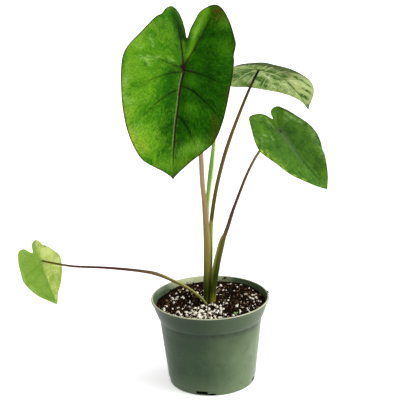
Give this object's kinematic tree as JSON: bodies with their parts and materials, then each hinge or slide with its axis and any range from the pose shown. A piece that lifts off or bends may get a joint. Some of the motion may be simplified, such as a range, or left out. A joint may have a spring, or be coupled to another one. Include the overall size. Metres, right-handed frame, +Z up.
{
  "type": "potted elephant ear plant",
  "caption": "Young elephant ear in a round nursery pot: heart-shaped leaves on long arching stalks and one rolled new leaf, rising from potting mix with perlite.",
  "frame": {"origin": "centre of the pot's base, on the surface that it stands on", "axes": "+Z up, the picture looks along +Y with +X to the right"},
  "size_m": [0.3986, 0.1862, 0.4921],
  "materials": {
    "pot": "satin moulded, fine scuffs",
    "soil": "loose peat, bark and perlite",
    "corm": "rough, fibrous",
    "leaf_front_blade": "satin, dark sunken veins",
    "leaf_front_stalk": "smooth, faint streaks",
    "leaf_back_blade": "matte underside",
    "leaf_back_stalk": "smooth, faint streaks",
    "leaf_right_blade": "satin",
    "leaf_right_stalk": "smooth, faint streaks",
    "leaf_low_blade": "matte, thin",
    "leaf_low_stalk": "smooth, faint streaks",
    "rolled_leaf": "satin",
    "sprout": "satin"
  },
  "bodies": {
    "root": {"pot": "pot", "soil": "soil", "corm": "corm", "leaf_front_blade": "leaf_front_blade", "leaf_front_stalk": "leaf_front_stalk", "leaf_back_blade": "leaf_back_blade", "leaf_back_stalk": "leaf_back_stalk", "leaf_right_blade": "leaf_right_blade", "leaf_right_stalk": "leaf_right_stalk", "leaf_low_blade": "leaf_low_blade", "leaf_low_stalk": "leaf_low_stalk", "rolled_leaf": "rolled_leaf", "sprout": "sprout"}
  },
  "joints": []
}
